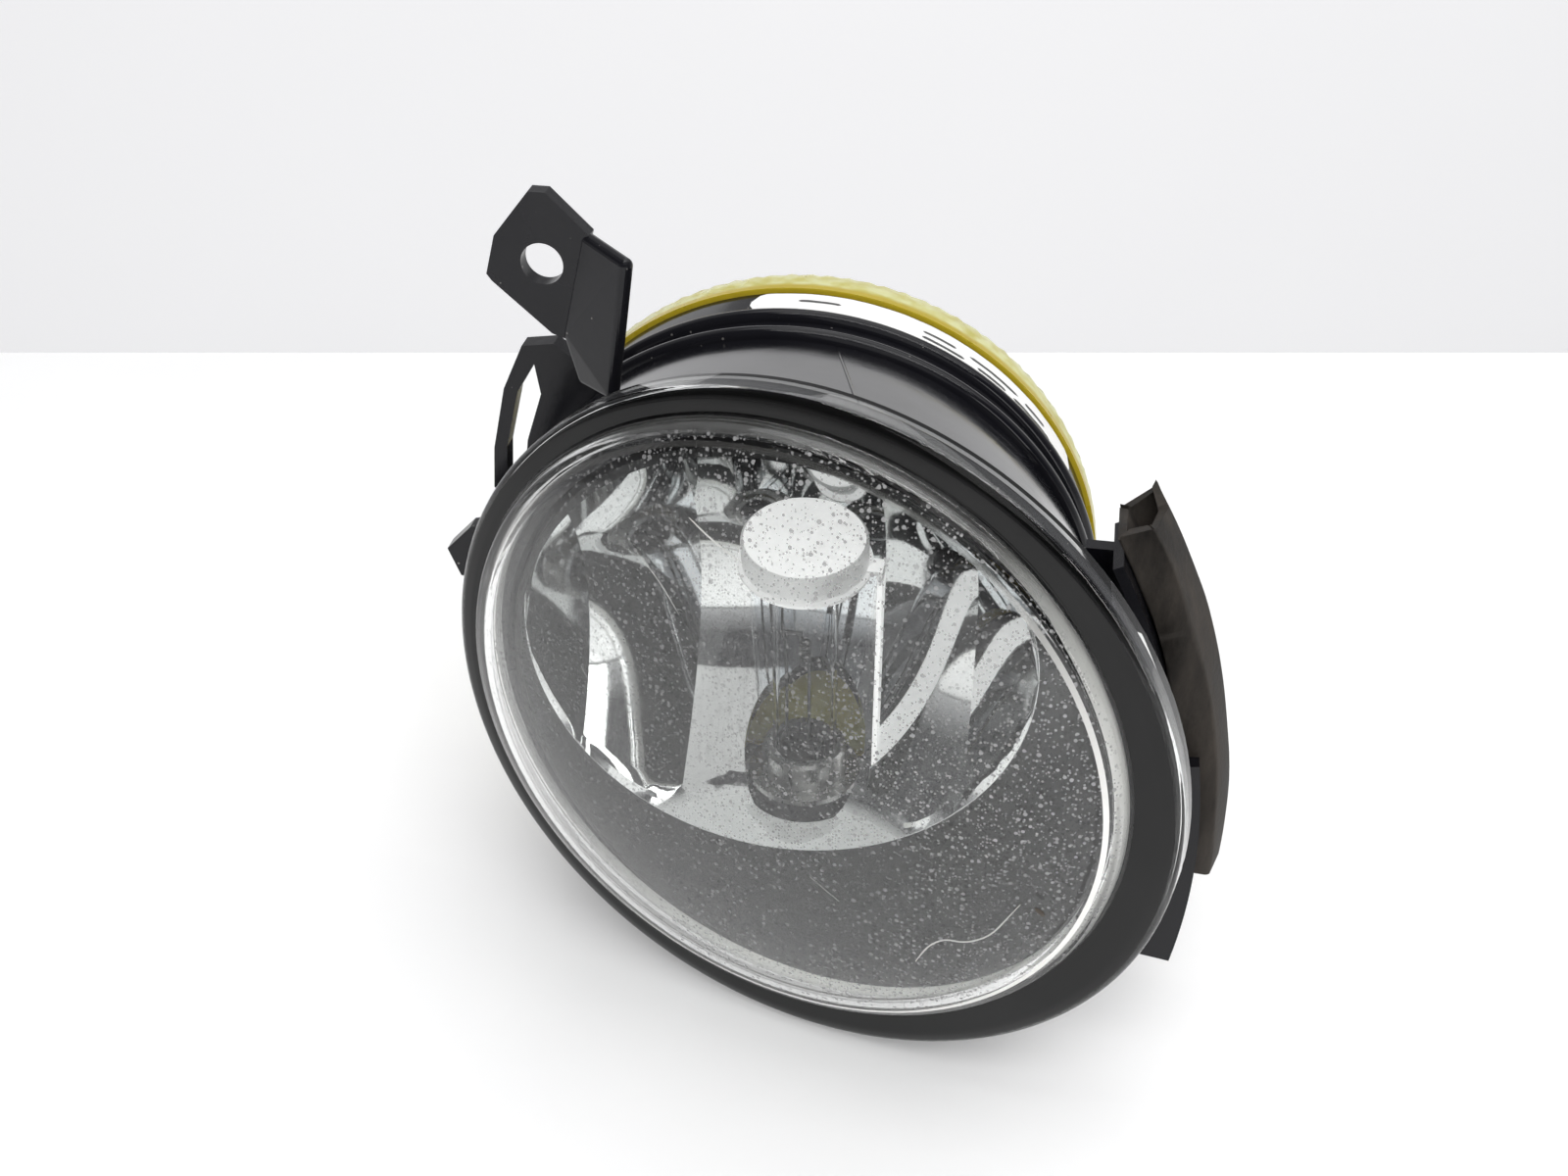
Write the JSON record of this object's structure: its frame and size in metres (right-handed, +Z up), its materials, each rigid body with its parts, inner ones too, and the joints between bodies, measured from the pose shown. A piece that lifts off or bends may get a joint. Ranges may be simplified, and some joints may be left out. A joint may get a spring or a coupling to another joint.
{
  "type": "fog light",
  "caption": "Round front fog lamp: raked clear domed lens, black drum housing, fluted reflector, twist-in bulb, aim adjuster, screw bracket, loop clip and rubber edge strip.",
  "frame": {"origin": "centre of the lens rim", "axes": "+Y runs back along the drum axis, so the lamp shines along -Y; +X to the right as seen from in front of the lens; +Z up"},
  "size_m": [0.1273, 0.1019, 0.1351],
  "materials": {
    "clear_lens": "polished, hazed by use",
    "black_gloss": "glossy moulded",
    "black_satin": "satin moulded",
    "bezel_grey": "matt",
    "mirror_coat": "vacuum metallised",
    "amber": "translucent, finely ribbed",
    "rubber_black": "soft",
    "rubber_green": "soft",
    "screw_steel": "zinc plated",
    "shield_bright": "bright",
    "bulb_glass": "clear",
    "tungsten": "dull",
    "tinned": "tinned",
    "label_white": "paper film, blank",
    "nylon": "natural nylon"
  },
  "bodies": {
    "lamp": {"lens": "clear_lens", "lens_seal": "rubber_black", "housing": "black_gloss", "bezel": "bezel_grey", "reflector": "mirror_coat", "rear_cover": "amber", "cover_seal": "rubber_black", "cover_screws": "screw_steel", "bulb_shield": "shield_bright", "shield_rivets": "screw_steel", "bulb_socket": "black_satin", "screw_bracket": "black_gloss", "loop_clip": "black_satin", "locating_tab": "black_satin", "side_flange": "black_gloss", "seal_strip": "rubber_black", "label": "label_white", "breather_cap": "rubber_black"},
    "bulb": {"bulb_base": "black_satin", "bulb_collar": "screw_steel", "bulb_seal": "rubber_green", "bulb_glass": "bulb_glass", "filament": "tungsten", "contact_pins": "tinned"},
    "adjuster": {"adjuster_screw": "screw_steel", "adjuster_clip": "screw_steel"},
    "slider": {"adjuster_slider": "nylon", "aim_stud": "screw_steel"}
  },
  "joints": [
    {"name": "bulb_twist", "type": "hinge", "parent": "lamp", "child": "bulb", "pos_m": [-0.004, 0.036, -0.05], "axis": [0, 0, 1], "range_deg": [0, 40]},
    {"name": "adjuster_turn", "type": "hinge", "parent": "lamp", "child": "adjuster", "pos_m": [0.02096, 0.0346, -0.05165], "axis": [0, 1, 0], "range_deg": [-960, 960]},
    {"name": "slider_travel", "type": "slide", "parent": "lamp", "child": "slider", "axis": [0, 1, 0], "range_m": [-0.004, 0.004]}
  ],
  "couplings": [
    {"joint": "adjuster_turn", "follows": "slider_travel", "rad_per_m": -4188.8}
  ]
}
